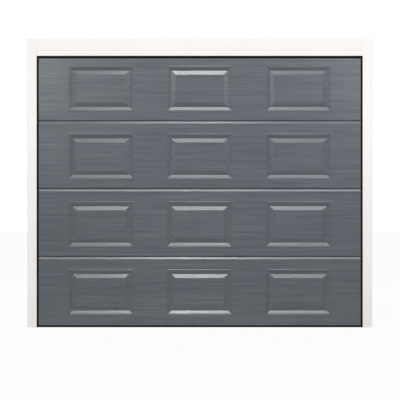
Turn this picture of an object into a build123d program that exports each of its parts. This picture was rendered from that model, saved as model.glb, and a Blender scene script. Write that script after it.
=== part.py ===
# Sectional overhead garage door for a clear opening of 2400 x 2000 mm, shown closed.
# Four insulated steel sections with pressed raised panels are hinged one above the other.
# Their rollers run in tracks behind two posts and a head panel, and a torsion spring shaft
# at the rear end of the low-headroom rails balances the door through two cables.
#
# Millimetres. X runs across the door as seen from outside, Y points into the garage and Z is up.
# The origin is on the left post's wall face at floor level, in the middle of that face.
# The pieces below are built about the door's centre line and moved to that origin on export.

import os

from build123d import *

# Clear opening and leaf. The opening's height follows from the sections.
opening_width = 2400.0
section_count = 4
section_height = 500.0
leaf_floor_gap = 20.0
head_overlap = 20.0
leaf_setback = 20.0
leaf_thickness = 40.0
leaf_overlap = 18.0

# Frame seen round the opening
post_face = 68.0
head_face = 125.0
post_depth = 112.0
post_return = 26.0
frame_sheet = 2.0
frame_lip = 18.0
frame_bend = 3.0
head_return = 60.0
swage_foot = 28.0
swage_height = 12.0
swage_depth = 2.5
notch_depth = 22.0
notch_below_curve = 75.0
fixing_hole_radius = 5.5
fixing_hole_setback = 35.0
fixing_end_gap = 300.0
foot_sheet = 3.0
foot_width = 44.0
foot_length = 55.0
foot_upstand = 40.0

# Joint between two sections, measured from the joint plane and from the outer skin
shoulder_drop = 9.0
shoulder_run = 4.0
shoulder_gap = 1.0
front_lip_gap = 4.0
tongue_foot = 13.0
tongue_lean = 3.0
tongue_width = 15.0
tongue_height = 9.0
groove_play = 2.5
joint_seal_width = 8.0
back_rib_count = 3
back_rib_width = 9.0
back_rib_depth = 1.2

# Section ends
cap_sheet = 1.5
cap_flange = 60.0
cap_flange_gap = 16.0

# Pressed raised panels: the bare steel round them, then each fold from the outer edge inwards
panel_columns = 3
panel_gap = 237.0
panel_end_margin = 244.5
panel_top_margin = 91.0
panel_bottom_margin = 69.0
bead_height = 2.2
bead_slope = 4.5
bead_crest = 2.0
ledge_depth = 1.2
ledge_width = 3.0
groove_depth = 11.0
groove_slope = 20.0
groove_floor = 3.0
bevel_width = 29.0
field_depth = 0.6

# Seals and the rail under the leaf
seal_thickness = 4.0
seal_length = 15.0
seal_reach = 13.0
head_seal_reach = 17.0
seal_tip = 2.0
seal_clearance = 0.4
bottom_rail_thickness = 6.0
bottom_seal_chamfer = 7.0
bottom_seal_wall = 3.0

# Tracks and rollers
track_height = 45.0
track_depth = 30.0
track_sheet = 1.5
track_lip = 9.0
track_foot = 25.0
cleat_count = 3
cleat_height = 50.0
cleat_width = 24.0
roller_setback = 22.0
curve_radius = 280.0
ceiling_gap = 14.5
rail_gap = 3.0
rail_past_opening = 400.0
upper_rail_gap = 8.0
upper_roller_shift = 14.0
wheel_clearance = 0.5
wheel_width = 14.0
wheel_inset = 8.0
stem_radius = 5.5
end_stop_length = 22.0
end_stop_clearance = 0.3

# Hinges and brackets
hinge_width = 58.0
hinge_end_gap = 5.0
hinge_sheet = 2.5
hinge_foot = 70.0
hinge_head = 58.0
hinge_start = 20.0
barrel_radius = 9.0
bar_sides = 8
strap_thickness = 6.0
knuckle_gap = 0.3
bracket_sheet = 3.0
bottom_bracket_rise = 10.0
bottom_bracket_height = 92.0
bottom_roller_rise = 55.0
cheek_shortfall = 10.0
cable_pin_rise = 25.0
cable_pin_radius = 4.0
cable_pin_end = 3.5
top_bracket_height = 110.0
top_bracket_drop = 20.0
top_arm_width = 40.0
top_arm_thickness = 5.0
top_arm_rise = 12.0

# Cables, pulleys and drums
cable_offset = 28.0
cable_radius = 1.5
cable_setback = 70.0
cable_above_stem = 5.0
eye_wall = 3.0
eye_width = 5.0
pulley_pitch_radius = 40.0
pulley_flange = 4.0
pulley_width = 9.0
drum_pitch_radius = 50.0
drum_flange = 6.0
drum_flange_width = 4.0
drum_inner_side = 12.0
drum_outer_side = 22.0
axle_radius = 7.0
axle_shoulder_radius = 10.0
axle_end = 2.0
side_clearance = 1.0
running_clearance = 0.2

# Corner plates, rear plates, crossbar and hangers
plate_sheet = 2.0
corner_plate_gap = 2.0
corner_plate_foot = 88.0
corner_plate_reach = 68.0
corner_plate_drop = 45.0
corner_plate_top_gap = 8.0
notch_clearance = 5.0
rear_plate_lap = 80.0
rear_plate_margin = 62.0
hub_radius = 26.0
hub_length = 12.0
crossbar_depth = 30.0
crossbar_sheet = 2.0
hanger_width = 50.0
hanger_flange = 52.0
hanger_count = 2
hanger_pitch = 1000.0
hanger_end_gap = 150.0
hanger_hole_radius = 4.5

# Torsion shaft and springs
shaft_radius = 12.5
shaft_setback = 80.0
spring_inner_radius = 25.5
spring_wire = 5.5
spring_length = 660.0
cone_radius = 30.0
fixed_cone_length = 31.0
winding_cone_length = 26.0
centre_web = 6.0
centre_flange = 35.0
centre_web_head = 20.0

# Places worked out from the sizes above
half_opening = opening_width / 2
leaf_top = leaf_floor_gap + section_height * section_count
opening_height = leaf_top - head_overlap
frame_top = opening_height + head_face
post_outer = half_opening + post_face
web_inner = post_outer - frame_sheet
leaf_front = leaf_setback
leaf_back = leaf_front + leaf_thickness
leaf_edge = half_opening + leaf_overlap
panel_edge = leaf_edge - cap_sheet
joint_heights = [leaf_floor_gap + section_height * i for i in range(1, section_count)]
panel_row = 2 * (panel_edge - panel_end_margin) - panel_gap * (panel_columns - 1)
panel_width = panel_row / panel_columns
panel_pitch = panel_width + panel_gap
panel_height = section_height - panel_top_margin - panel_bottom_margin
track_back = web_inner - plate_sheet
track_front = track_back - track_depth
roller_y = leaf_back + roller_setback
upper_rail_height = frame_top - ceiling_gap - track_height / 2
lower_rail_height = upper_rail_height - track_height - rail_gap
rail_end = opening_height + rail_past_opening
upper_rail_start = leaf_back + upper_rail_gap
curve_start = lower_rail_height - curve_radius
curve_end = roller_y + curve_radius
notch_low = curve_start - notch_below_curve
upper_roller_y = roller_y + upper_roller_shift
wheel_radius = track_height / 2 - track_sheet - wheel_clearance
wheel_start = track_front + wheel_inset
cap_back = leaf_back + cap_sheet
hinge_outer = leaf_edge - hinge_end_gap
hinge_inner = hinge_outer - hinge_width
bottom_roller_height = leaf_floor_gap + bottom_roller_rise
cable_pin_height = leaf_floor_gap + cable_pin_rise
cable_x = half_opening + cable_offset
cable_high = lower_rail_height + stem_radius + cable_above_stem + cable_radius
pulley_y = cable_setback + pulley_pitch_radius
pulley_z = cable_high - pulley_pitch_radius
shaft_y = rail_end + shaft_setback
shaft_z = cable_high - drum_pitch_radius
crossbar_low = upper_rail_height - track_height / 2
crossbar_high = upper_rail_height + track_height / 2
spring_start = centre_web / 2 + fixed_cone_length
spring_end = spring_start + spring_length
door_centre = post_face / 2 + half_opening

parts = {}


# Helpers

def outline(points):
    return make_face(Polyline(*points, close=True))


def along_x(profile, x_start, x_end):
    return extrude(Plane.YZ.offset(x_start) * profile, amount=x_end - x_start)


def along_y(profile, y_start, y_end):
    return extrude(Plane.XZ.offset(-y_start) * profile, amount=y_start - y_end)


def along_z(profile, z_start, z_end):
    return extrude(Plane.XY.offset(z_start) * profile, amount=z_end - z_start)


def block(low, high):
    size = [high[i] - low[i] for i in range(3)]
    centre = [(high[i] + low[i]) / 2 for i in range(3)]
    return Pos(*centre) * Box(*size)


def rod_x(radius, x_start, x_end, y, z):
    return Pos((x_start + x_end) / 2, y, z) * Rot(0, 90, 0) * Cylinder(radius, x_end - x_start)


def bar_x(radius, x_start, x_end, y, z):
    # A small rod or barrel with eight flats
    flats = RegularPolygon(radius, bar_sides, major_radius=False, rotation=180 / bar_sides)
    return along_x(Pos(y, z) * flats, x_start, x_end)


def folded_sheet(points, thickness, side):
    # Sheet metal folded sharp along a line of points
    return make_face(
        offset(Polyline(*points), amount=thickness, side=side, kind=Kind.INTERSECTION)
    )


def bent_sheet(points, thickness, bend, side):
    # Sheet metal bent to an outside radius along a line of points
    return make_face(offset(FilletPolyline(*points, radius=bend), amount=thickness, side=side))


def turned(points, y, z):
    # A closed outline of (x, radius) points, turned about a line along X at y, z
    profile = make_face(Polyline(*[(x, 0, radius) for x, radius in points], close=True))
    return Pos(0, y, z) * revolve(profile, axis=Axis.X, revolution_arc=360)


def mirrored(shape):
    return mirror(shape, about=Plane.YZ)


def both_sides(shape):
    return [mirrored(shape), shape]


def add(name, solids):
    parts[name] = solids if isinstance(solids, list) else [solids]


# Frame: posts with their feet, and the head panel

def post():
    path = [
        (half_opening, frame_lip),
        (half_opening, 0),
        (post_outer, 0),
        (post_outer, post_depth),
        (post_outer - post_return, post_depth),
    ]
    body = along_z(bent_sheet(path, frame_sheet, frame_bend, Side.LEFT), 0, frame_top)
    notch = block(
        (half_opening, post_depth - notch_depth, notch_low), (post_outer, post_depth, frame_top)
    )
    holes = [
        rod_x(fixing_hole_radius, web_inner - frame_sheet, post_outer, fixing_hole_setback, z)
        for z in (fixing_end_gap, opening_height - fixing_end_gap)
    ]
    return body - notch - holes


def post_foot():
    high_x = web_inner - frame_bend
    low_x = high_x - foot_width
    plate = block((low_x, frame_sheet, 0), (high_x, frame_sheet + foot_length, foot_sheet))
    upstand = block((low_x, frame_sheet, 0), (high_x, frame_sheet + foot_sheet, foot_upstand))
    hole = Cylinder(fixing_hole_radius, 2 * foot_sheet)
    return plate + upstand - Pos((low_x + high_x) / 2, fixing_hole_setback, foot_sheet / 2) * hole


def head_panel():
    swage_low = opening_height + swage_foot
    swage_high = swage_low + swage_height
    path = [
        (frame_lip, opening_height),
        (0, opening_height),
        (0, swage_low),
        (swage_depth, swage_low + swage_depth),
        (swage_depth, swage_high - swage_depth),
        (0, swage_high),
        (0, frame_top),
        (head_return, frame_top),
    ]
    return along_x(folded_sheet(path, frame_sheet, Side.RIGHT), -half_opening, half_opening)


# Seals on the frame: a body held on the lip and a tongue that reaches the leaf

def seal_profile(reach):
    # Points of (distance towards the middle of the opening, depth), drawn from the frame's lip
    tongue_end = leaf_front - seal_clearance
    return [
        (0, frame_sheet),
        (0, frame_sheet + seal_length),
        (seal_thickness, frame_sheet + seal_length),
        (seal_thickness, frame_sheet + seal_length / 2),
        (reach - seal_tip, tongue_end),
        (reach, tongue_end),
        (reach, tongue_end - seal_tip / 2),
        (seal_thickness, frame_sheet),
    ]


def side_seal():
    points = [(half_opening - run, y) for run, y in seal_profile(seal_reach)]
    return along_z(outline(points), 0, opening_height - head_seal_reach)


def head_seal():
    points = [(y, opening_height - run) for run, y in seal_profile(head_seal_reach)]
    return along_x(outline(points), -half_opening, half_opening)


# Sections of the leaf

def section_bottom(index):
    return leaf_floor_gap + section_height * index


def section_outline(index):
    front, back = leaf_front, leaf_back
    bottom, top = section_bottom(index), section_bottom(index + 1)
    if index < section_count - 1:
        tongue_back = tongue_foot + tongue_width
        upper = [
            (front, top - shoulder_drop),
            (front + shoulder_run, top - shoulder_gap),
            (front + tongue_foot, top - shoulder_gap),
            (front + tongue_foot + tongue_lean, top + tongue_height),
            (front + tongue_back - tongue_lean, top + tongue_height),
            (front + tongue_back, top - shoulder_gap),
            (back, top - shoulder_gap),
        ]
    else:
        upper = [(front, top), (back, top)]
    if index > 0:
        groove_front = tongue_foot - groove_play
        groove_back = tongue_foot + tongue_width + groove_play
        roof = bottom + tongue_height + groove_play
        lower = [
            (back, bottom + shoulder_gap),
            (front + groove_back, bottom + shoulder_gap),
            (front + groove_back - tongue_lean, roof),
            (front + groove_front + tongue_lean, roof),
            (front + groove_front, bottom + front_lip_gap),
            (front, bottom + front_lip_gap),
        ]
    else:
        lower = [(back, bottom), (front, bottom)]
    return outline(upper + lower)


def back_rib(z):
    points = [
        (leaf_back, z - back_rib_width / 2),
        (leaf_back - back_rib_depth, z),
        (leaf_back, z + back_rib_width / 2),
    ]
    return along_x(outline(points), -panel_edge, panel_edge)


def frustum(x, z, inset_a, depth_a, inset_b, depth_b):
    # Between two rectangles, each inset from the pressed panel's outer edge and set to a depth
    rectangles = [
        Plane.XZ.offset(-(leaf_front + depth))
        * Pos(x, z)
        * Rectangle(panel_width - 2 * inset, panel_height - 2 * inset)
        for inset, depth in ((inset_a, depth_a), (inset_b, depth_b))
    ]
    return loft(rectangles, ruled=True)


def press_panel(body, x, z):
    crest_end = bead_slope + bead_crest
    ledge_start = crest_end + bead_slope
    ledge_end = ledge_start + ledge_width
    floor_start = ledge_end + groove_slope
    floor_end = floor_start + groove_floor
    field_start = floor_end + bevel_width
    bead = frustum(x, z, 0, 0, bead_slope, -bead_height)
    ledge = frustum(x, z, crest_end, -bead_height, ledge_start, ledge_depth)
    groove = frustum(x, z, ledge_end, ledge_depth, floor_start, groove_depth)
    field = frustum(x, z, floor_end, groove_depth, field_start, field_depth)
    return body + bead - ledge - groove + field


def section(index):
    bottom = section_bottom(index)
    body = along_x(section_outline(index), -panel_edge, panel_edge)
    rib_step = section_height / (back_rib_count + 1)
    body -= [back_rib(bottom + rib_step * (i + 1)) for i in range(back_rib_count)]
    for column in range(panel_columns):
        x = (column - (panel_columns - 1) / 2) * panel_pitch
        body = press_panel(body, x, bottom + panel_bottom_margin + panel_height / 2)
    return body


def end_cap(index):
    flange = block(
        (leaf_edge - cap_flange, leaf_back, section_bottom(index) + cap_flange_gap),
        (leaf_edge, cap_back, section_bottom(index + 1) - cap_flange_gap),
    )
    return along_x(section_outline(index), panel_edge, leaf_edge) + flange


def joint_seal(joint):
    middle = leaf_front + tongue_foot + tongue_width / 2
    return block(
        (-half_opening, middle - joint_seal_width / 2, joint + tongue_height),
        (half_opening, middle + joint_seal_width / 2, joint + tongue_height + groove_play),
    )


def bottom_rail():
    return block(
        (-leaf_edge, leaf_front + bottom_seal_wall, leaf_floor_gap - bottom_rail_thickness),
        (leaf_edge, leaf_back - bottom_seal_wall, leaf_floor_gap),
    )


def bottom_seal():
    # A hollow foot with an arm up each side of the rail
    def bulb(inset):
        low_y, high_y = leaf_front + inset, leaf_back - inset
        return [
            (low_y, bottom_seal_chamfer),
            (low_y + bottom_seal_chamfer, inset),
            (high_y - bottom_seal_chamfer, inset),
            (high_y, bottom_seal_chamfer),
        ]

    rail_low = leaf_floor_gap - bottom_rail_thickness
    roof = rail_low - bottom_seal_wall
    outer = [(leaf_front, leaf_floor_gap)] + bulb(0) + [(leaf_back, leaf_floor_gap)]
    first, last = bulb(bottom_seal_wall)[0][0], bulb(bottom_seal_wall)[-1][0]
    hollow = [(first, roof)] + bulb(bottom_seal_wall) + [(last, roof)]
    rail_space = [
        (leaf_front + bottom_seal_wall, leaf_floor_gap),
        (leaf_front + bottom_seal_wall, rail_low),
        (leaf_back - bottom_seal_wall, rail_low),
        (leaf_back - bottom_seal_wall, leaf_floor_gap),
    ]
    profile = outline(outer) - outline(hollow) - outline(rail_space)
    return along_x(profile, -leaf_edge, leaf_edge)


# Hinges and roller brackets on the back of the leaf

def hinge_lower_leaf(x_start, y_plate, joint):
    # A plate on the lower section with a strap up to the barrel on the pivot line
    x_end = x_start + hinge_width
    plate = block(
        (x_start, y_plate, joint - hinge_foot), (x_end, y_plate + hinge_sheet, joint - hinge_start)
    )
    barrel_start = x_start + hinge_sheet + knuckle_gap
    barrel_end = x_end - hinge_sheet - knuckle_gap
    strap = [
        (y_plate, joint - hinge_start),
        (y_plate, joint - hinge_start - hinge_sheet),
        (y_plate + hinge_sheet, joint - hinge_start - hinge_sheet),
        (roller_y, joint - barrel_radius),
        (roller_y, joint),
        (roller_y - strap_thickness, joint - barrel_radius / 2),
    ]
    barrel = bar_x(barrel_radius, barrel_start, barrel_end, roller_y, joint)
    return plate + along_x(outline(strap), barrel_start, barrel_end) + barrel


def hinge_upper_leaf(x_start, y_plate, joint):
    # A plate on the upper section with an ear at each end of the lower leaf's barrel
    x_end = x_start + hinge_width
    leaf = block(
        (x_start, y_plate, joint + hinge_start), (x_end, y_plate + hinge_sheet, joint + hinge_head)
    )
    ear = outline(
        [
            (y_plate, joint + hinge_start),
            (y_plate, joint + hinge_head),
            (y_plate + hinge_sheet, joint + hinge_head),
            (roller_y + barrel_radius, joint + barrel_radius / 2),
            (roller_y + barrel_radius, joint - barrel_radius / 2),
            (roller_y + barrel_radius / 2, joint - barrel_radius),
            (roller_y - barrel_radius / 2, joint - barrel_radius),
            (roller_y - barrel_radius, joint - barrel_radius / 2),
        ]
    )
    leaf += along_x(ear, x_start, x_start + hinge_sheet)
    return leaf + along_x(ear, x_end - hinge_sheet, x_end)


def bottom_bracket():
    low = leaf_floor_gap + bottom_bracket_rise
    high = low + bottom_bracket_height
    plate = block((hinge_inner, cap_back, low), (hinge_outer, cap_back + bracket_sheet, high))
    cheek = block(
        (hinge_outer - bracket_sheet, cap_back, low),
        (hinge_outer, roller_y + barrel_radius, high - cheek_shortfall),
    )
    saddle = block(
        (hinge_inner, cap_back, bottom_roller_height - strap_thickness),
        (hinge_outer, roller_y, bottom_roller_height + strap_thickness),
    )
    barrel = bar_x(barrel_radius, hinge_inner, hinge_outer, roller_y, bottom_roller_height)
    pin_end = cable_x + eye_width / 2 + cable_pin_end
    pin = rod_x(cable_pin_radius, hinge_outer, pin_end, cable_setback, cable_pin_height)
    return plate + cheek + saddle + barrel + pin


def top_bracket():
    high = leaf_top - top_bracket_drop
    low = high - top_bracket_height
    plate = block((hinge_inner, cap_back, low), (hinge_outer, cap_back + bracket_sheet, high))
    arm_y = cap_back + bracket_sheet
    arm_low = low + top_bracket_drop
    arm_bend = leaf_top + top_arm_rise
    arm = outline(
        [
            (arm_y, arm_low),
            (arm_y + top_arm_thickness, arm_low),
            (arm_y + top_arm_thickness, arm_bend - top_arm_thickness),
            (upper_roller_y + top_arm_thickness, upper_rail_height - top_arm_thickness),
            (upper_roller_y - top_arm_thickness, upper_rail_height),
            (arm_y, arm_bend),
        ]
    )
    arm_start = (hinge_inner + hinge_outer - top_arm_width) / 2
    arm = along_x(arm, arm_start, arm_start + top_arm_width)
    barrel = bar_x(barrel_radius, hinge_inner, hinge_outer, upper_roller_y, upper_rail_height)
    return plate + arm + barrel


def roller(y, z):
    # A wheel on its stem, which starts at the outer end of a barrel or ear
    wheel = rod_x(wheel_radius, wheel_start, wheel_start + wheel_width, y, z)
    return wheel + bar_x(stem_radius, hinge_outer, wheel_start, y, z)


# Tracks: one rolled C section, straight or bent

def track_profile():
    half = track_height / 2
    path = [
        (track_front, track_lip - half),
        (track_front, -half),
        (track_back, -half),
        (track_back, half),
        (track_front, half),
        (track_front, half - track_lip),
    ]
    return folded_sheet(path, track_sheet, Side.LEFT)


def vertical_track():
    # The cleats are packers that hold the track off the post's web, level with the corner plate
    body = along_z(Pos(0, roller_y) * track_profile(), track_foot, curve_start)
    for i in range(cleat_count):
        middle = track_foot + (curve_start - track_foot) * (i + 0.5) / cleat_count
        body += block(
            (track_back, roller_y - cleat_width / 2, middle - cleat_height / 2),
            (web_inner, roller_y + cleat_width / 2, middle + cleat_height / 2),
        )
    return body


def curved_track():
    start = Plane.XY.offset(curve_start) * Pos(0, roller_y) * track_profile()
    return revolve(start, axis=Axis((0, curve_end, curve_start), (-1, 0, 0)), revolution_arc=90)


def rail(height, start):
    return along_y(Pos(0, height) * track_profile(), start, rail_end)


def end_stop():
    half = track_height / 2 - track_sheet - end_stop_clearance
    return block(
        (track_front + track_sheet, rail_end - end_stop_length, lower_rail_height - half),
        (track_back - track_sheet, rail_end, lower_rail_height + half),
    )


# Plates that hold the tracks, rails and shaft

def corner_plate():
    front = leaf_back + corner_plate_gap
    low = notch_low + notch_clearance
    back = curve_end + corner_plate_reach
    high = frame_top - corner_plate_top_gap
    sheet = outline(
        [
            (front, low),
            (front + corner_plate_foot, low),
            (back, lower_rail_height - corner_plate_drop),
            (back, high),
            (front, high),
        ]
    )
    plate = along_x(sheet, track_back, web_inner)
    shoulder_start = cable_x + pulley_width / 2 + side_clearance
    axle_start = cable_x - pulley_width / 2 - axle_end
    plate += bar_x(axle_shoulder_radius, shoulder_start, track_back, pulley_y, pulley_z)
    return plate + rod_x(axle_radius, axle_start, shoulder_start, pulley_y, pulley_z)


def rear_plate():
    start = rail_end - rear_plate_lap
    back = shaft_y + rear_plate_margin
    low = shaft_z - rear_plate_margin
    sheet = outline(
        [
            (start, lower_rail_height - track_height / 2),
            (shaft_y - rear_plate_margin, low),
            (shaft_y + hub_radius, low),
            (back, shaft_z - hub_radius),
            (back, crossbar_high),
            (start, crossbar_high),
        ]
    )
    plate = along_x(sheet, track_back, web_inner)
    plate += rod_x(hub_radius, track_back - hub_length, track_back, shaft_y, shaft_z)
    bore = rod_x(
        shaft_radius + running_clearance, track_back - hub_length, web_inner, shaft_y, shaft_z
    )
    return plate - bore


def rail_hanger(y):
    low_y, high_y = y - hanger_width / 2, y + hanger_width / 2
    plate = block(
        (track_back, low_y, lower_rail_height - track_height / 2), (web_inner, high_y, frame_top)
    )
    flange = block(
        (web_inner - hanger_flange, low_y, frame_top - plate_sheet), (web_inner, high_y, frame_top)
    )
    hole = Cylinder(hanger_hole_radius, 4 * plate_sheet)
    return plate + flange - Pos(web_inner - hanger_flange / 2, y, frame_top) * hole


def crossbar():
    path = [
        (rail_end, crossbar_low),
        (rail_end + crossbar_depth, crossbar_low),
        (rail_end + crossbar_depth, crossbar_high),
        (rail_end, crossbar_high),
    ]
    return along_x(folded_sheet(path, crossbar_sheet, Side.LEFT), -track_back, track_back)


def centre_bearing():
    # A bracket on the crossbar, and on each side of it the cone that a spring is fixed to
    back = rail_end + crossbar_depth
    web = outline(
        [
            (back, crossbar_high),
            (back + centre_web_head, crossbar_high),
            (shaft_y + hub_radius, shaft_z),
            (shaft_y, shaft_z - hub_radius),
            (back, crossbar_low),
        ]
    )
    body = along_x(web, -centre_web / 2, centre_web / 2)
    body += block(
        (-centre_flange, back, crossbar_low), (centre_flange, back + plate_sheet, crossbar_high)
    )
    body += rod_x(cone_radius, -spring_start, spring_start, shaft_y, shaft_z)
    bore = shaft_radius + running_clearance
    return body - rod_x(bore, -spring_start, spring_start, shaft_y, shaft_z)


# Torsion springs with their winding cones

def torsion_spring():
    tube = rod_x(spring_inner_radius + spring_wire, spring_start, spring_end, shaft_y, shaft_z)
    return tube - rod_x(spring_inner_radius, spring_start, spring_end, shaft_y, shaft_z)


def winding_cone():
    cone_end = spring_end + winding_cone_length
    body = rod_x(cone_radius, spring_end, cone_end, shaft_y, shaft_z)
    return body - rod_x(shaft_radius + running_clearance, spring_end, cone_end, shaft_y, shaft_z)


# Cable, pulley and drum on one side

def cable_pulley():
    bore = axle_radius + running_clearance
    rim = pulley_pitch_radius + pulley_flange
    floor = pulley_pitch_radius - cable_radius
    low, high = cable_x - pulley_width / 2, cable_x + pulley_width / 2
    groove = cable_radius + running_clearance
    return turned(
        [
            (low, bore),
            (low, rim),
            (cable_x - groove, floor),
            (cable_x + groove, floor),
            (high, rim),
            (high, bore),
        ],
        pulley_y,
        pulley_z,
    )


def cable_drum():
    bore = shaft_radius + running_clearance
    rim = drum_pitch_radius + drum_flange
    floor = drum_pitch_radius - cable_radius
    low, high = cable_x - drum_inner_side, cable_x + drum_outer_side
    return turned(
        [
            (low, bore),
            (low, floor),
            (high - drum_flange_width, floor),
            (high - drum_flange_width, rim),
            (high, rim),
            (high, bore),
        ],
        shaft_y,
        shaft_z,
    )


def lift_cable():
    # From an eye on the bottom bracket's pin, up and over the pulley, along to the drum and round it
    strand = RegularPolygon(cable_radius, 6, major_radius=False)
    eye_hole = cable_pin_radius + running_clearance
    rise_start = cable_pin_height + eye_hole + eye_wall / 2
    cable = along_z(Pos(cable_x, cable_setback) * strand, rise_start, pulley_z)
    cable += along_y(Pos(cable_x, cable_high) * strand, pulley_y, shaft_y)
    on_pulley = Plane.XY.offset(pulley_z) * Pos(cable_x, cable_setback) * strand
    cable += revolve(on_pulley, axis=Axis((0, pulley_y, pulley_z), (-1, 0, 0)), revolution_arc=90)
    on_drum = Plane.XZ.offset(-shaft_y) * Pos(cable_x, cable_high) * strand
    cable += revolve(on_drum, axis=Axis((0, shaft_y, shaft_z), (-1, 0, 0)), revolution_arc=270)
    ring = RegularPolygon(eye_hole + eye_wall, 6, major_radius=False)
    ring -= RegularPolygon(eye_hole, 6, major_radius=False)
    ring = Pos(cable_setback, cable_pin_height) * ring
    return cable + along_x(ring, cable_x - eye_width / 2, cable_x + eye_width / 2)


# Everything by node

add("left_post", mirrored(post()))
add("right_post", post())
add("post_feet", both_sides(post_foot()))
add("head_panel", head_panel())
add("left_side_seal", mirrored(side_seal()))
add("right_side_seal", side_seal())
add("head_seal", head_seal())

for index in range(section_count):
    add(f"section_{index + 1}", section(index))
add("end_caps", [cap for index in range(section_count) for cap in both_sides(end_cap(index))])
add("joint_seals", [joint_seal(joint) for joint in joint_heights])
add("bottom_rail", bottom_rail())
add("bottom_seal", bottom_seal())

middle_hinges = [
    (sign * panel_pitch / 2 - hinge_width / 2, leaf_back, joint)
    for joint in joint_heights
    for sign in (-1, 1)
]
side_hinges = [(hinge_inner, cap_back, joint) for joint in joint_heights]
lower_leaves = [leaf for place in side_hinges for leaf in both_sides(hinge_lower_leaf(*place))]
upper_leaves = [leaf for place in side_hinges for leaf in both_sides(hinge_upper_leaf(*place))]
add("side_hinge_lower_leaves", lower_leaves)
add("side_hinge_upper_leaves", upper_leaves)
add("middle_hinge_lower_leaves", [hinge_lower_leaf(*place) for place in middle_hinges])
add("middle_hinge_upper_leaves", [hinge_upper_leaf(*place) for place in middle_hinges])
add("bottom_brackets", both_sides(bottom_bracket()))
add("top_brackets", both_sides(top_bracket()))

roller_places = [(roller_y, bottom_roller_height), (upper_roller_y, upper_rail_height)]
roller_places += [(roller_y, joint) for joint in joint_heights]
add("rollers", [piece for y, z in roller_places for piece in both_sides(roller(y, z))])

for side_name, placed_on in (("left", mirrored), ("right", lambda shape: shape)):
    add(side_name + "_vertical_track", placed_on(vertical_track()))
    add(side_name + "_lower_rail", placed_on(rail(lower_rail_height, curve_end)))
    add(side_name + "_upper_rail", placed_on(rail(upper_rail_height, upper_rail_start)))
    add(side_name + "_torsion_spring", placed_on(torsion_spring()))
    add(side_name + "_lift_cable", placed_on(lift_cable()))

add("curved_tracks", both_sides(curved_track()))
add("rail_end_stops", both_sides(end_stop()))
add("corner_plates", both_sides(corner_plate()))
add("rear_plates", both_sides(rear_plate()))
add("rear_crossbar", crossbar())
hanger_places = [rail_end - hanger_end_gap - hanger_pitch * i for i in range(hanger_count)]
add("rail_hangers", [piece for y in hanger_places for piece in both_sides(rail_hanger(y))])
add("centre_bearing_bracket", centre_bearing())
add("torsion_shaft", rod_x(shaft_radius, -post_outer, post_outer, shaft_y, shaft_z))
add("winding_cones", both_sides(winding_cone()))
add("cable_pulleys", both_sides(cable_pulley()))
add("cable_drums", both_sides(cable_drum()))

os.makedirs("parts", exist_ok=True)
for node, shapes in parts.items():
    placed = [Pos(door_centre, 0, 0) * solid for shape in shapes for solid in shape.solids()]
    export_step(Compound(children=placed), f"parts/{node}.step")
print(len(parts), "nodes,", sum(len(shapes) for shapes in parts.values()), "solids")
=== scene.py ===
# A closed sectional garage door, dressed round its CAD frame: pressed leaf skins, rolled tracks,
# wound springs, rollers, cables and fasteners. Pieces are built in millimetres about the door's
# centre line and moved to the frame's origin when they are made.

import math

import bmesh
import bpy
from mathutils import Matrix, Vector


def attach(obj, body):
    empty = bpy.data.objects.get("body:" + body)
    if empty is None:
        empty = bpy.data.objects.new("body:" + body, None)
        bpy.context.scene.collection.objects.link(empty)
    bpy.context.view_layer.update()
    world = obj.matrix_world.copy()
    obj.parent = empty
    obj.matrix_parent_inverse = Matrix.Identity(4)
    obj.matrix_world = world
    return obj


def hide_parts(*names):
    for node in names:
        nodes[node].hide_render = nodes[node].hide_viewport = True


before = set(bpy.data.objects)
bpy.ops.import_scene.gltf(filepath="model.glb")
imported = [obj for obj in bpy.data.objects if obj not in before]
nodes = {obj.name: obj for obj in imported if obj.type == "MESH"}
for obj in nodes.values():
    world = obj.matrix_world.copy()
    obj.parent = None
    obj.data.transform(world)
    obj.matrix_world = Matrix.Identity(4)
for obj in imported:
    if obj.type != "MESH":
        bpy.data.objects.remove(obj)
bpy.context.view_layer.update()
print("frame loaded with", len(nodes), "nodes")

doorCentre, millimetre = 1234.0, 0.001
toRow = Matrix.Scale(millimetre, 4) @ Matrix.Translation((doorCentre, 0, 0))


# Mesh drafts: points, faces and a material number for each face

def newDraft():
    return {"points": [], "faces": [], "slots": []}


def addFace(draft, corners, slot=0):
    draft["faces"].append(tuple(corners))
    draft["slots"].append(slot)


def addRings(draft, rings, slot=0, closed=True, caps=(False, False)):
    # Rings of equal length, joined one to the next; slot may be a list with one number per ring point
    start, count = len(draft["points"]), len(rings[0])
    for ring in rings:
        draft["points"] += [tuple(point) for point in ring]
    for i in range(len(rings) - 1):
        near, far = start + i * count, start + (i + 1) * count
        for j in range(count if closed else count - 1):
            k = (j + 1) % count
            chosen = slot[j] if isinstance(slot, list) else slot
            addFace(draft, (near + j, near + k, far + k, far + j), chosen)
    flat = slot[0] if isinstance(slot, list) else slot
    if caps[0]:
        addFace(draft, [start + j for j in range(count)], flat)
    if caps[1]:
        last = start + (len(rings) - 1) * count
        addFace(draft, [last + j for j in range(count)], flat)


def addLathe(draft, profile, y, z, steps, slot=0):
    # An open profile of (x, radius), turned about a line along X; a radius of 0 closes an end
    rings = [
        [
            (x, y + radius * math.cos(math.tau * j / steps), z + radius * math.sin(math.tau * j / steps))
            for j in range(steps)
        ]
        for x, radius in profile
    ]
    addRings(draft, rings, slot)


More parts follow.
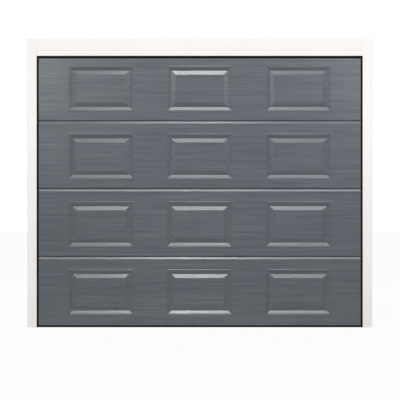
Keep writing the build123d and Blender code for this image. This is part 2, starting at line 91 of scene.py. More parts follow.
def addBlock(draft, low, high, edge):
    # A box with chamfered edges
    def ring(z, inset):
        x0, x1 = low[0] + inset, high[0] - inset
        y0, y1 = low[1] + inset, high[1] - inset
        return [
            (x0 + edge, y0, z), (x1 - edge, y0, z), (x1, y0 + edge, z), (x1, y1 - edge, z),
            (x1 - edge, y1, z), (x0 + edge, y1, z), (x0, y1 - edge, z), (x0, y0 + edge, z),
        ]

    z0, z1 = low[2], high[2]
    rings = [ring(z0, edge), ring(z0 + edge, 0), ring(z1 - edge, 0), ring(z1, edge)]
    addRings(draft, rings, caps=(True, True))


def addTube(draft, path, radiusAt, sides, twist=0.0, capped=True):
    # A tube round a path; radiusAt gives the radius for a point's number, twist turns it per millimetre
    rings, travelled = [], 0.0
    tangent = (path[1] - path[0]).normalized()
    side = tangent.orthogonal().normalized()
    for i, point in enumerate(path):
        ahead = path[min(i + 1, len(path) - 1)] - path[max(i - 1, 0)]
        turned = ahead.normalized()
        side = tangent.rotation_difference(turned) @ side
        side = (side - turned * side.dot(turned)).normalized()
        tangent = turned
        up = tangent.cross(side)
        if i:
            travelled += (point - path[i - 1]).length
        ring = []
        for j in range(sides):
            angle = math.tau * j / sides + twist * travelled
            ring.append(point + (side * math.cos(angle) + up * math.sin(angle)) * radiusAt(j))
        rings.append(ring)
    addRings(draft, rings, caps=(capped, capped))


def ringRound(centre, across, other, radiusAt, steps):
    # Points round a centre, in the plane of two directions
    ring = []
    for k in range(steps):
        turn = math.tau * k / steps
        ring.append(centre + (across * math.cos(turn) + other * math.sin(turn)) * radiusAt(k))
    return ring


def profileFrom(end, part, way=1):
    # Points (offset, radius) as (x, radius); offsets run along X from the end, or against it with -1
    return [(end + way * offset, radius) for offset, radius in part]


def roundedPath(corners, radius, steps, closed=False):
    # The corners of a flat outline with each one replaced by a short arc
    result, count = [], len(corners)
    for i, corner in enumerate(corners):
        if not closed and i in (0, count - 1):
            result.append(corner)
            continue
        here = Vector(corner)
        back, ahead = Vector(corners[i - 1]) - here, Vector(corners[(i + 1) % count]) - here
        half = back.angle(ahead, 0.0) / 2
        longest = 0.45 * min(back.length, ahead.length)
        reach = min(radius / math.tan(half), longest)
        start, end = here + back.normalized() * reach, here + ahead.normalized() * reach
        for k in range(steps + 1):
            t = k / steps
            bend = start * (1 - t) ** 2 + here * 2 * t * (1 - t) + end * t**2
            result.append(tuple(bend))
    return result


def thickened(path, thickness):
    # A closed outline of sheet metal with the path in its middle
    left, right = [], []
    for i, point in enumerate(path):
        ahead = Vector(path[min(i + 1, len(path) - 1)]) - Vector(path[max(i - 1, 0)])
        side = Vector((-ahead[1], ahead[0])).normalized() * thickness / 2
        left.append(tuple(Vector(point) + side))
        right.append(tuple(Vector(point) - side))
    return left + right[::-1]


def mirrorDraft(draft):
    return {
        "points": [(-x, y, z) for x, y, z in draft["points"]],
        "faces": list(draft["faces"]),
        "slots": list(draft["slots"]),
    }


def joinDrafts(*drafts):
    whole = newDraft()
    for draft in drafts:
        start = len(whole["points"])
        whole["points"] += draft["points"]
        whole["faces"] += [tuple(start + i for i in face) for face in draft["faces"]]
        whole["slots"] += draft["slots"]
    return whole


def bothSides(draft):
    return joinDrafts(mirrorDraft(draft), draft)


def addObject(name, data):
    added = bpy.data.objects.new(name, data)
    bpy.context.scene.collection.objects.link(added)
    return added


cleaning = {"mergeDistance": 0.002, "shortestEdge": 0.001}


def makePiece(name, draft, materials, replaces=(), sharpAngle=38.0):
    mesh = bpy.data.meshes.new(name)
    mesh.from_pydata(draft["points"], [], draft["faces"])
    mesh.polygons.foreach_set("material_index", draft["slots"])
    shape = bmesh.new()
    shape.from_mesh(mesh)
    bmesh.ops.remove_doubles(shape, verts=shape.verts, dist=cleaning["mergeDistance"])
    bmesh.ops.dissolve_degenerate(shape, edges=shape.edges, dist=cleaning["shortestEdge"])
    bmesh.ops.recalc_face_normals(shape, faces=shape.faces)
    shape.to_mesh(mesh)
    shape.free()
    mesh.transform(toRow)
    mesh.shade_smooth()
    mesh.set_sharp_from_angle(angle=math.radians(sharpAngle))
    for material in materials:
        mesh.materials.append(material)
    piece = addObject(name, mesh)
    piece.modifiers.new("evenShading", "WEIGHTED_NORMAL").keep_sharp = True
    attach(piece, "root")
    if replaces:
        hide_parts(*replaces)
    return piece


def makePair(name, draft, finish, node):
    for side, half in (("right", draft), ("left", mirrorDraft(draft))):
        makePiece(f"{name}_{side}", half, [finish], [f"{side}_{node}"])


# Shader node helpers

def addNode(tree, kind, inputs=None, **settings):
    node = tree.nodes.new(kind)
    for key, value in settings.items():
        setattr(node, key, value)
    for key, value in (inputs or {}).items():
        if isinstance(value, bpy.types.NodeSocket):
            tree.links.new(value, node.inputs[key])
        else:
            node.inputs[key].default_value = value
    return node


def mathNode(tree, operation, first, second, third=None):
    inputs = {0: first, 1: second}
    if third is not None:
        inputs[2] = third
    return addNode(tree, "ShaderNodeMath", inputs, operation=operation).outputs[0]


def mixColor(tree, factor, first, second):
    # Sockets 6 and 7 are the colours of this node, and output 2 is their mix
    return addNode(tree, "ShaderNodeMix", {0: factor, 6: first, 7: second}, data_type="RGBA").outputs[2]


def remap(tree, value, low, high, toLow=0.0, toHigh=1.0):
    inputs = {0: value, 1: low, 2: high, 3: toLow, 4: toHigh}
    return addNode(tree, "ShaderNodeMapRange", inputs).outputs[0]


def weighted(tree, first, second, share):
    # The given share of the first value, and the rest of the second
    part = mathNode(tree, "MULTIPLY", first, share)
    return mathNode(tree, "ADD", part, mathNode(tree, "MULTIPLY", second, 1 - share))


def newGroup(name, inputs, outputs):
    group = bpy.data.node_groups.new(name, "ShaderNodeTree")
    for label, value in inputs.items():
        kind = "NodeSocketColor" if isinstance(value, tuple) else "NodeSocketFloat"
        socket = group.interface.new_socket(label, in_out="INPUT", socket_type=kind)
        socket.default_value = value
    for label, kind in outputs.items():
        group.interface.new_socket(label, in_out="OUTPUT", socket_type=kind)
    return group, group.nodes.new("NodeGroupInput"), group.nodes.new("NodeGroupOutput")


def linkResults(tree, result, sockets):
    for label, socket in sockets.items():
        tree.links.new(socket, result.inputs[label])


def asInput(value):
    # Colours are written with three numbers, and a socket takes four
    return (*value, 1) if isinstance(value, tuple) else value


def stretchedPlace(tree, width, height):
    # Object coordinates divided by the size of a mark along the door and across it
    place = addNode(tree, "ShaderNodeTexCoord").outputs["Object"]
    split = addNode(tree, "ShaderNodeSeparateXYZ", {0: place})
    parts = {
        0: mathNode(tree, "DIVIDE", split.outputs[0], width),
        1: mathNode(tree, "DIVIDE", split.outputs[1], height),
        2: mathNode(tree, "DIVIDE", split.outputs[2], height),
    }
    return addNode(tree, "ShaderNodeCombineXYZ", parts).outputs[0]


def noise(tree, place, detail=3.0):
    inputs = {"Vector": place, "Scale": 1.0, "Detail": detail, "Roughness": 0.6}
    return addNode(tree, "ShaderNodeTexNoise", inputs).outputs["Fac"]


patterns = {
    # sizes in metres, the finer noise's share, and the span of the blend from the first colour to the second
    "waveLength": 0.45, "waveWidth": 0.12, "lineShare": 0.45, "grainSpan": (0.36, 0.64),
    "fineShare": 0.4, "speckleSpan": (0.34, 0.66), "cloudWidth": 0.08, "cloudHeight": 0.03,
}


def grainGroup():
    # Long marks in a coated or rolled sheet: fine lines, broader streaks and the sheet's slow waves
    inputs = {
        "Base": (0.1, 0.1, 0.1, 1), "Streak": (0.15, 0.15, 0.15, 1), "Line Length": 0.14,
        "Line Width": 0.0016, "Streak Length": 0.5, "Streak Width": 0.014, "Line Depth": 0.0001,
        "Wave Depth": 0.0004,
    }
    outputs = {"Color": "NodeSocketColor", "Mask": "NodeSocketFloat", "Height": "NodeSocketFloat"}
    tree, given, result = newGroup("rolledGrain", inputs, outputs)
    value = given.outputs
    lines = noise(tree, stretchedPlace(tree, value["Line Length"], value["Line Width"]))
    streaks = noise(tree, stretchedPlace(tree, value["Streak Length"], value["Streak Width"]), 4.0)
    waves = noise(tree, stretchedPlace(tree, patterns["waveLength"], patterns["waveWidth"]), 1.0)
    mask = remap(tree, weighted(tree, lines, streaks, patterns["lineShare"]), *patterns["grainSpan"])
    color = mixColor(tree, mask, value["Base"], value["Streak"])
    depth = mathNode(tree, "MULTIPLY", lines, value["Line Depth"])
    height = mathNode(tree, "MULTIPLY_ADD", waves, value["Wave Depth"], depth)
    linkResults(tree, result, {"Color": color, "Mask": mask, "Height": height})
    return tree


def speckleGroup():
    # Small even texture of a sprayed, moulded or cast surface
    inputs = {
        "Base": (0.5, 0.5, 0.5, 1), "Speck": (0.6, 0.6, 0.6, 1), "Size": 0.003, "Patch Size": 0.25,
        "Depth": 0.0001,
    }
    outputs = {"Color": "NodeSocketColor", "Mask": "NodeSocketFloat", "Height": "NodeSocketFloat"}
    tree, given, result = newGroup("fineSpeckle", inputs, outputs)
    value = given.outputs
    fine = noise(tree, stretchedPlace(tree, value["Size"], value["Size"]), 2.0)
    patch = noise(tree, stretchedPlace(tree, value["Patch Size"], value["Patch Size"]), 3.0)
    mask = remap(tree, weighted(tree, fine, patch, patterns["fineShare"]), *patterns["speckleSpan"])
    color = mixColor(tree, mask, value["Base"], value["Speck"])
    height = mathNode(tree, "MULTIPLY", fine, value["Depth"])
    linkResults(tree, result, {"Color": color, "Mask": mask, "Height": height})
    return tree


def spangleGroup():
    # Zinc crystals, each with its own shade
    inputs = {"Base": (0.5, 0.5, 0.5, 1), "Light": (0.65, 0.65, 0.65, 1), "Crystal": 0.012}
    outputs = {"Color": "NodeSocketColor", "Mask": "NodeSocketFloat"}
    tree, given, result = newGroup("zincSpangle", inputs, outputs)
    place = stretchedPlace(tree, given.outputs["Crystal"], given.outputs["Crystal"])
    bend = addNode(tree, "ShaderNodeVectorMath", {0: place, 1: noise(tree, place, 2.0)}, operation="ADD")
    cells = addNode(tree, "ShaderNodeTexVoronoi", {"Vector": bend.outputs[0], "Scale": 1.0}, feature="F1")
    mask = addNode(tree, "ShaderNodeSeparateXYZ", {0: cells.outputs["Color"]}).outputs[0]
    color = mixColor(tree, mask, given.outputs["Base"], given.outputs["Light"])
    linkResults(tree, result, {"Color": color, "Mask": mask})
    return tree


def dustGroup():
    # Pale dust that thins out above the floor
    inputs = {"Color": (0.1, 0.1, 0.1, 1), "Dust": (0.5, 0.48, 0.45, 1), "Reach": 0.25, "Amount": 0.2}
    outputs = {"Color": "NodeSocketColor", "Mask": "NodeSocketFloat"}
    tree, given, result = newGroup("floorDust", inputs, outputs)
    place = addNode(tree, "ShaderNodeTexCoord").outputs["Object"]
    high = addNode(tree, "ShaderNodeSeparateXYZ", {0: place}).outputs[2]
    fade = remap(tree, high, 0.0, given.outputs["Reach"], 1.0, 0.0)
    cloud = noise(tree, stretchedPlace(tree, patterns["cloudWidth"], patterns["cloudHeight"]), 4.0)
    amount = mathNode(tree, "MULTIPLY", mathNode(tree, "MULTIPLY", fade, cloud), given.outputs["Amount"])
    color = mixColor(tree, amount, given.outputs["Color"], given.outputs["Dust"])
    linkResults(tree, result, {"Color": color, "Mask": amount})
    return tree


effects = {"grain": grainGroup(), "speckle": speckleGroup(), "spangle": spangleGroup(), "dust": dustGroup()}


def makeMaterial(name, effect, values, roughness, metallic=0.0, dust=None, sockets=None):
    # roughness is the range that the effect's mask runs over
    material = bpy.data.materials.new(name)
    material.use_nodes = True
    tree = material.node_tree
    shader = tree.nodes["Principled BSDF"]
    shader.inputs["Metallic"].default_value = metallic
    for label, value in (sockets or {}).items():
        shader.inputs[label].default_value = value
    pattern = addNode(tree, "ShaderNodeGroup", node_tree=effects[effect])
    for label, value in values.items():
        pattern.inputs[label].default_value = asInput(value)
    color = pattern.outputs["Color"]
    if dust:
        layer = addNode(tree, "ShaderNodeGroup", node_tree=effects["dust"])
        tree.links.new(color, layer.inputs["Color"])
        for label, value in dust.items():
            layer.inputs[label].default_value = asInput(value)
        color = layer.outputs["Color"]
    tree.links.new(color, shader.inputs["Base Color"])
    span = remap(tree, pattern.outputs["Mask"], 0.0, 1.0, *roughness)
    tree.links.new(span, shader.inputs["Roughness"])
    if "Height" in pattern.outputs:
        bump = addNode(tree, "ShaderNodeBump", {"Height": pattern.outputs["Height"], "Distance": 1.0})
        tree.links.new(bump.outputs["Normal"], shader.inputs["Normal"])
    return material


finishes = {
    "leafOuter": makeMaterial(
        "anthraciteWoodgrain", "grain",
        {"Base": (0.050, 0.060, 0.071), "Streak": (0.086, 0.098, 0.111), "Line Depth": 0.00022,
         "Wave Depth": 0.0006},
        (0.30, 0.42), dust={"Dust": (0.30, 0.30, 0.30), "Reach": 0.3, "Amount": 0.10},
        sockets={"Coat Weight": 0.1, "Coat Roughness": 0.22, "Specular IOR Level": 0.38},
    ),
    "leafInner": makeMaterial(
        "paleStuccoSheet", "grain",
        {"Base": (0.62, 0.63, 0.61), "Streak": (0.68, 0.69, 0.67), "Line Length": 0.006,
         "Line Width": 0.004, "Streak Length": 0.3, "Streak Width": 0.2, "Line Depth": 0.0006,
         "Wave Depth": 0.0005},
        (0.40, 0.52), dust={"Dust": (0.40, 0.38, 0.35), "Reach": 0.4, "Amount": 0.25},
    ),
    "frameWhite": makeMaterial(
        "warmWhiteCoat", "speckle",
        {"Base": (0.765, 0.742, 0.715), "Speck": (0.80, 0.778, 0.752), "Size": 0.0025, "Patch Size": 0.4,
         "Depth": 0.00006},
        (0.50, 0.60), dust={"Dust": (0.55, 0.52, 0.48), "Reach": 0.12, "Amount": 0.25},
        sockets={"Specular IOR Level": 0.18},
    ),
    "sealBlack": makeMaterial(
        "softBlackRubber", "speckle",
        {"Base": (0.003, 0.003, 0.003), "Speck": (0.006, 0.006, 0.006), "Size": 0.0015, "Depth": 0.0001},
        (0.62, 0.80), dust={"Dust": (0.12, 0.115, 0.11), "Reach": 0.04, "Amount": 0.04},
        sockets={"Specular IOR Level": 0.06},
    ),
    "galvanised": makeMaterial(
        "galvanisedSheet", "spangle",
        {"Base": (0.54, 0.55, 0.57), "Light": (0.64, 0.65, 0.67), "Crystal": 0.011},
        (0.42, 0.52), metallic=1.0, dust={"Dust": (0.42, 0.40, 0.37), "Reach": 0.3, "Amount": 0.3},
    ),
    "endCapZinc": makeMaterial(
        "skinPassedZinc", "spangle",
        {"Base": (0.60, 0.61, 0.62), "Light": (0.68, 0.69, 0.70), "Crystal": 0.005},
        (0.36, 0.46), metallic=1.0,
    ),
    "boltZinc": makeMaterial(
        "brightBoltZinc", "spangle",
        {"Base": (0.62, 0.62, 0.62), "Light": (0.74, 0.74, 0.73), "Crystal": 0.003},
        (0.24, 0.38), metallic=1.0,
    ),
    "rollerNylon": makeMaterial(
        "milkyNylon", "speckle",
        {"Base": (0.66, 0.66, 0.62), "Speck": (0.72, 0.72, 0.69), "Size": 0.002, "Patch Size": 0.02,
         "Depth": 0.00004},
        (0.36, 0.48), sockets={"Subsurface Weight": 0.1, "Subsurface Radius": (0.004, 0.004, 0.003)},
    ),
    "cableSteel": makeMaterial(
        "strandedWire", "speckle",
        {"Base": (0.36, 0.37, 0.38), "Speck": (0.52, 0.53, 0.54), "Size": 0.0008, "Patch Size": 0.02,
         "Depth": 0.00003},
        (0.30, 0.50), metallic=1.0,
    ),
    "springSteel": makeMaterial(
        "oiledSpringWire", "speckle",
        {"Base": (0.060, 0.062, 0.065), "Speck": (0.12, 0.12, 0.125), "Size": 0.002, "Patch Size": 0.05,
         "Depth": 0.00004},
        (0.26, 0.42), metallic=0.7, sockets={"Coat Weight": 0.3, "Coat Roughness": 0.2},
    ),
    "castAluminium": makeMaterial(
        "sandCastAluminium", "speckle",
        {"Base": (0.56, 0.57, 0.58), "Speck": (0.66, 0.67, 0.68), "Size": 0.0018, "Patch Size": 0.03,
         "Depth": 0.00016},
        (0.42, 0.60), metallic=1.0,
    ),
    "shaftSteel": makeMaterial(
        "drawnShaftSteel", "grain",
        {"Base": (0.44, 0.45, 0.46), "Streak": (0.56, 0.57, 0.58), "Line Length": 0.2, "Line Width": 0.0008,
         "Streak Length": 0.5, "Streak Width": 0.004, "Line Depth": 0.00002, "Wave Depth": 0.0},
        (0.24, 0.40), metallic=1.0,
    ),
    "railAluminium": makeMaterial(
        "millAluminium", "grain",
        {"Base": (0.56, 0.57, 0.58), "Streak": (0.64, 0.65, 0.66), "Line Length": 0.3, "Line Width": 0.0006,
         "Streak Length": 0.8, "Streak Width": 0.004, "Line Depth": 0.00001, "Wave Depth": 0.0},
        (0.30, 0.42), metallic=1.0,
    ),
}
print("materials made:", len(finishes))


# Leaf sections: an outer skin pressed into raised panels, folded joints and a ribbed inner skin

leaf = {
    "front": 20.0, "back": 60.0, "halfWidth": 1216.5, "floorGap": 20.0, "height": 500.0, "count": 4,
    "panelX": (-727.0, 0.0, 727.0), "panelWidth": 490.0, "panelHeight": 340.0, "panelRise": 69.0,
    "foldRadius": 2.4, "jointRadius": 1.6, "foldSteps": 4, "jointSteps": 3,
    "cornerRadius": 7.0, "innerCornerRadius": 3.0, "cornerTaper": 0.1, "cornerSteps": 4,
    # inset from the pressed panel's outer edge, and depth behind the skin
    "folds": (
        (0, 0), (4.5, -2.2), (6.5, -2.2), (11, 1.2), (14, 1.2), (34, 11), (37, 11), (66, 0.6), (84, 0.6)
    ),
    "ribCount": 3, "ribStep": 125.0, "ribWidth": 9.0, "ribDepth": 1.2, "foamStart": 22.0,
    # depth behind the front and height over the section's edge: shoulder and tongue, groove and lip
    "tongue": ((0, -18), (5.2, -2.5), (13, -2.5), (16, 9), (25, 9), (28, -1)),
    "groove": ((30.5, 1), (27.5, 11.5), (13.5, 11.5), (10.5, 5.5), (0, 5.5)),
    "lowestLip": ((0, 0), (0, -4), (-1.5, -4), (-0.4, 0.6), (1.5, 0.8), (1.5, 3), (0, 3)),
}
squareCorners = ((-1, -1), (1, -1), (1, 1), (-1, 1))


def sectionOutline(index):
    # Corners (y, z) from the front's top round the back to the front's bottom
    front, back = leaf["front"], leaf["back"]
    low = leaf["floorGap"] + leaf["height"] * index
    high = low + leaf["height"]
    if index < leaf["count"] - 1:
        corners = [(front + depth, high + rise) for depth, rise in leaf["tongue"]]
    else:
        corners = [(front, high)]
    corners.append((back, corners[-1][1]))
    for i in range(leaf["ribCount"], 0, -1):
        z = low + leaf["ribStep"] * i
        half = leaf["ribWidth"] / 2
        corners += [(back, z + half), (back - leaf["ribDepth"], z), (back, z - half)]
    edge = leaf["groove"] if index > 0 else leaf["lowestLip"]
    corners.append((back, low + edge[0][1]))
    corners += [(front + depth, low + rise) for depth, rise in edge]
    return roundedPath(corners, leaf["jointRadius"], leaf["jointSteps"], closed=True)


def panelRing(x, z, inset, depth):
    # A rounded rectangle from the lower left corner round
    halfWide, halfHigh = leaf["panelWidth"] / 2 - inset, leaf["panelHeight"] / 2 - inset
    radius = max(leaf["innerCornerRadius"], leaf["cornerRadius"] - inset * leaf["cornerTaper"])
    steps = leaf["cornerSteps"]
    ring = []
    for number, (sx, sz) in enumerate(squareCorners):
        start = math.pi + number * math.pi / 2
        for k in range(steps + 1):
            angle = start + k * math.pi / 2 / steps
            ring.append((
                x + sx * (halfWide - radius) + radius * math.cos(angle),
                leaf["front"] + depth,
                z + sz * (halfHigh - radius) + radius * math.sin(angle),
            ))
    return ring


def addPanel(draft, x, z):
    folds = roundedPath(leaf["folds"], leaf["foldRadius"], leaf["foldSteps"])
    rings = [panelRing(x, z, inset, depth) for inset, depth in folds]
    start = len(draft["points"])
    addRings(draft, rings, 0, caps=(False, True))
    # Flat fans between the first ring's round corners and the square corners of the skin's opening
    halfWide, halfHigh = leaf["panelWidth"] / 2, leaf["panelHeight"] / 2
    steps = leaf["cornerSteps"]
    for number, (sx, sz) in enumerate(squareCorners):
        corner = len(draft["points"])
        draft["points"].append((x + sx * halfWide, leaf["front"], z + sz * halfHigh))
        for k in range(steps):
            point = start + number * (steps + 1) + k
            addFace(draft, (corner, point, point + 1))


def addSkin(draft, columns, rows, panelCells):
    # The flat skin as a grid round the cells that the panels fill
    radius, y = leaf["cornerRadius"], leaf["front"]
    for i in range(len(columns) - 1):
        for j in range(len(rows) - 1):
            if (i, j) in panelCells:
                continue
            x0, x1, z0, z1 = columns[i], columns[i + 1], rows[j], rows[j + 1]
            # each corner, and the points that follow it where a panel lies on that side
            edge = []
            for corner, cell, extra in (
                ((x0, y, z0), (i, j - 1), [(x0 + radius, y, z0), (x1 - radius, y, z0)]),
                ((x1, y, z0), (i + 1, j), [(x1, y, z0 + radius), (x1, y, z1 - radius)]),
                ((x1, y, z1), (i, j + 1), [(x1 - radius, y, z1), (x0 + radius, y, z1)]),
                ((x0, y, z1), (i - 1, j), [(x0, y, z1 - radius), (x0, y, z0 + radius)]),
            ):
                edge += [corner, *extra] if cell in panelCells else [corner]
            start = len(draft["points"])
            draft["points"] += edge
            addFace(draft, range(start, start + len(edge)))


def sectionDraft(index):
    draft = newDraft()
    outline = sectionOutline(index)
    low = leaf["floorGap"] + leaf["height"] * index
    halfWide = leaf["panelWidth"] / 2
    columns = [-leaf["halfWidth"]]
    for x in leaf["panelX"]:
        columns += [x - halfWide, x + halfWide]
    columns.append(leaf["halfWidth"])
    panelLow = low + leaf["panelRise"]
    panelHigh = panelLow + leaf["panelHeight"]
    rows = [outline[-1][1], panelLow, panelHigh, outline[0][1]]
    panelCells = {(2 * i + 1, 1) for i in range(len(leaf["panelX"]))}
    # The two sheets meet inside the joint, where their edges are out of sight
    sheets = [1 if y > leaf["front"] + leaf["foamStart"] else 0 for y, z in outline]
    rings = [[(x, y, z) for y, z in outline] for x in columns]
    addRings(draft, rings, sheets, closed=False)
    addSkin(draft, columns, rows, panelCells)
    for x in leaf["panelX"]:
        addPanel(draft, x, (panelLow + panelHigh) / 2)
    front = leaf["front"]
    for x in (columns[0], columns[-1]):
        start = len(draft["points"])
        end = [(x, y, z) for y, z in outline] + [(x, front, rows[1]), (x, front, rows[2])]
        draft["points"] += end
        addFace(draft, range(start, start + len(end)), 1)
    return draft


for index in range(leaf["count"]):
    makePiece(
        f"pressed_section_{index + 1}", sectionDraft(index), [finishes["leafOuter"], finishes["leafInner"]],
        [f"section_{index + 1}"], sharpAngle=60.0,
    )
print("leaf sections pressed")


# Tracks: one rolled channel, straight or bent

track = {
    "front": 1234.0, "back": 1264.0, "height": 45.0, "lip": 9.0, "sheet": 1.5, "bend": 3.0,
    "rollerY": 82.0, "foot": 25.0, "curveStart": 1760.0, "curveEndY": 362.0, "curveRadius": 280.0,
    "curveSteps": 40, "lowerZ": 2040.0, "upperZ": 2088.0, "upperStart": 68.0, "end": 2400.0,
    "cleatZ": (314.17, 892.5, 1470.83), "cleatHalfWidth": 12.0, "cleatHalfHeight": 25.0,
    "cleatEdge": 0.4, "webInner": 1266.0, "bay": 60.0, "bendSteps": 4,
}


def trackOutline():
    half, sheet = track["height"] / 2 - track["sheet"] / 2, track["sheet"] / 2
    front, back = track["front"] + sheet, track["back"] - sheet
    tip = track["height"] / 2 - track["lip"]
    path = [(front, -tip), (front, -half), (back, -half), (back, half), (front, half), (front, tip)]
    return thickened(roundedPath(path, track["bend"], track["bendSteps"]), track["sheet"])


def verticalRing(z):
    return [(x, track["rollerY"] + v, z) for x, v in trackOutline()]


def curvedRing(angle):
    return [
        (
            x,
            track["curveEndY"] - (track["curveRadius"] - v) * math.cos(angle),
            track["curveStart"] + (track["curveRadius"] - v) * math.sin(angle),
        )
        for x, v in trackOutline()
    ]


def railRing(y, z):
    return [(x, y, z - v) for x, v in trackOutline()]


def runRings(ringAt, start, end):
    # Short bays, since the narrow strips of a fold shade badly when they are very long
    count = math.ceil((end - start) / track["bay"])
    return [ringAt(start + (end - start) * i / count) for i in range(count + 1)]


def railDraft(rings):
    draft = newDraft()
    addRings(draft, rings, caps=(True, True))
    return draft


verticalTrack = railDraft(runRings(verticalRing, track["foot"], track["curveStart"]))
halfWidth, halfHeight = track["cleatHalfWidth"], track["cleatHalfHeight"]
for z in track["cleatZ"]:
    addBlock(
        verticalTrack, (track["back"], track["rollerY"] - halfWidth, z - halfHeight),
        (track["webInner"], track["rollerY"] + halfWidth, z + halfHeight), track["cleatEdge"],
    )
bends = [math.pi / 2 * i / track["curveSteps"] for i in range(track["curveSteps"] + 1)]
curvedTrack = railDraft([curvedRing(angle) for angle in bends])
lowerRail = railDraft(runRings(lambda y: railRing(y, track["lowerZ"]), track["curveEndY"], track["end"]))
upperRail = railDraft(runRings(lambda y: railRing(y, track["upperZ"]), track["upperStart"], track["end"]))
galvanised = [finishes["galvanised"]]
for node, draft in (("vertical_track", verticalTrack), ("lower_rail", lowerRail), ("upper_rail", upperRail)):
    makePiece(f"rolled_{node}_left", mirrorDraft(draft), galvanised, [f"left_{node}"])
    makePiece(f"rolled_{node}_right", draft, galvanised, [f"right_{node}"])
makePiece("rolled_curves", bothSides(curvedTrack), galvanised, ["curved_tracks"])
print("tracks rolled")


# Rollers: a nylon tyre round a pressed bearing, on a steel stem

roller = {
    "wheelStart": 1242.0, "wheelEnd": 1256.0, "stemStart": 1213.0, "barrelStart": 1155.0,
    "places": ((82.0, 75.0), (82.0, 520.0), (82.0, 1020.0), (82.0, 1520.0), (96.0, 2088.0)),
    "tyreSteps": 56, "bearingSteps": 40, "tipSteps": 32,
    # offsets and radii of half the tyre, the bearing, its cover, and the stem's collar and plain end
    "tyreHalf": ((1.5, 13.0), (0.3, 14.0), (0, 16.0), (0.4, 18.6), (2.0, 20.1), (4.0, 20.5)),
    "bearing": ((1.5, 13.0), (0.8, 12.4), (0.8, 11.0), (2.4, 10.2), (2.4, 8.4), (0.2, 7.8), (0.2, 5.5)),
    "cover": ((1.5, 13.0), (0.9, 12.2), (0.9, 9.0), (0.2, 7.4), (0.2, 3.0), (0.6, 0.0)),
    "collar": ((4, 5.5), (4, 7.5), (2.6, 8.0), (0, 8.0), (0, 0.0)),
    "tip": ((0, 0.0), (0, 5.5), (2.6, 5.5), (3.6, 4.5), (3.6, 0.0)),
}


def rollerDraft(y, z):
    draft = newDraft()
    start, end = roller["wheelStart"], roller["wheelEnd"]
    tyre = profileFrom(start, roller["tyreHalf"]) + profileFrom(end, roller["tyreHalf"][::-1], -1)
    bearing = profileFrom(start, roller["bearing"])
    stem = bearing[-1:] + profileFrom(roller["stemStart"], roller["collar"])
    addLathe(draft, tyre, y, z, roller["tyreSteps"], 0)
    for part in (bearing, stem, profileFrom(end, roller["cover"], -1)):
        addLathe(draft, part, y, z, roller["bearingSteps"], 1)
    addLathe(draft, profileFrom(roller["barrelStart"], roller["tip"], -1), y, z, roller["tipSteps"], 1)
    return draft


rollers = joinDrafts(*[bothSides(rollerDraft(y, z)) for y, z in roller["places"]])
makePiece(
    "bearing_rollers", rollers, [finishes["rollerNylon"], finishes["boltZinc"]], ["rollers"],
    sharpAngle=32.0,
)
print("rollers turned")


# Torsion springs, wound opposite ways, and the cones that hold and wind them

spring = {
    "start": 34.0, "end": 694.0, "wire": 5.5, "meanRadius": 28.25, "axisY": 2480.0, "axisZ": 2002.0,
    "stepsPerTurn": 22, "sides": 8, "turnGap": 0.02, "coneEnd": 720.0, "coneSteps": 56,
    # offsets and radii of the cone, from the spring's end and from the cone's own end
    "coneFoot": ((0, 12.5), (0, 29.0), (1, 30.0), (4, 30.0), (5, 29.0), (5.5, 26.0)),
    "coneRim": ((7, 24.0), (6, 27.0), (5, 28.0), (1, 28.0), (0, 27.0), (0, 12.5)),
    "studCount": 4, "studStart": 13.0, "studInner": 20.0, "studOuter": 34.0, "studRadius": 7.5,
    "studEdge": 0.8, "socketRadius": 5.0, "socketDepth": 7.0, "studSteps": 20,
}


def springDraft():
    draft = newDraft()
    span = spring["end"] - spring["start"] - spring["wire"]
    turns = int(span / (spring["wire"] + spring["turnGap"]))
    count = turns * spring["stepsPerTurn"]
    path = []
    for i in range(count + 1):
        angle = math.tau * i / spring["stepsPerTurn"]
        path.append(Vector((
            spring["start"] + spring["wire"] / 2 + span * i / count,
            spring["axisY"] + spring["meanRadius"] * math.cos(angle),
            spring["axisZ"] + spring["meanRadius"] * math.sin(angle),
        )))
    addTube(draft, path, lambda j: spring["wire"] / 2, spring["sides"])
    return draft


makePair("wound_spring", springDraft(), finishes["springSteel"], "torsion_spring")


def addRadialStud(draft, x, angle):
    # A short post that stands out from the shaft's line, with a blind socket in its end
    axis = Vector((0, math.cos(angle), math.sin(angle)))
    across = Vector((1, 0, 0))
    other = axis.cross(across)
    base = Vector((x, spring["axisY"], spring["axisZ"]))
    outer, edge = spring["studOuter"], spring["studEdge"]
    radius, hole = spring["studRadius"], spring["socketRadius"]
    profile = [
        (spring["studInner"], radius), (outer - edge, radius), (outer, radius - edge), (outer, hole),
        (outer - spring["socketDepth"], hole),
    ]
    rings = [
        ringRound(base + axis * distance, across, other, lambda k: size, spring["studSteps"])
        for distance, size in profile
    ]
    addRings(draft, rings, caps=(True, True))


def coneDraft():
    draft = newDraft()
    start, end = spring["end"], spring["coneEnd"]
    profile = profileFrom(start, spring["coneFoot"]) + profileFrom(end, spring["coneRim"], -1)
    addLathe(draft, profile, spring["axisY"], spring["axisZ"], spring["coneSteps"])
    for k in range(spring["studCount"]):
        addRadialStud(draft, start + spring["studStart"], math.pi / 4 + k * math.tau / spring["studCount"])
    return draft


castAluminium = [finishes["castAluminium"]]
makePiece("cast_winding_cones", bothSides(coneDraft()), castAluminium, ["winding_cones"])
print("springs wound")


# Cable drums, pulleys and the lift cables

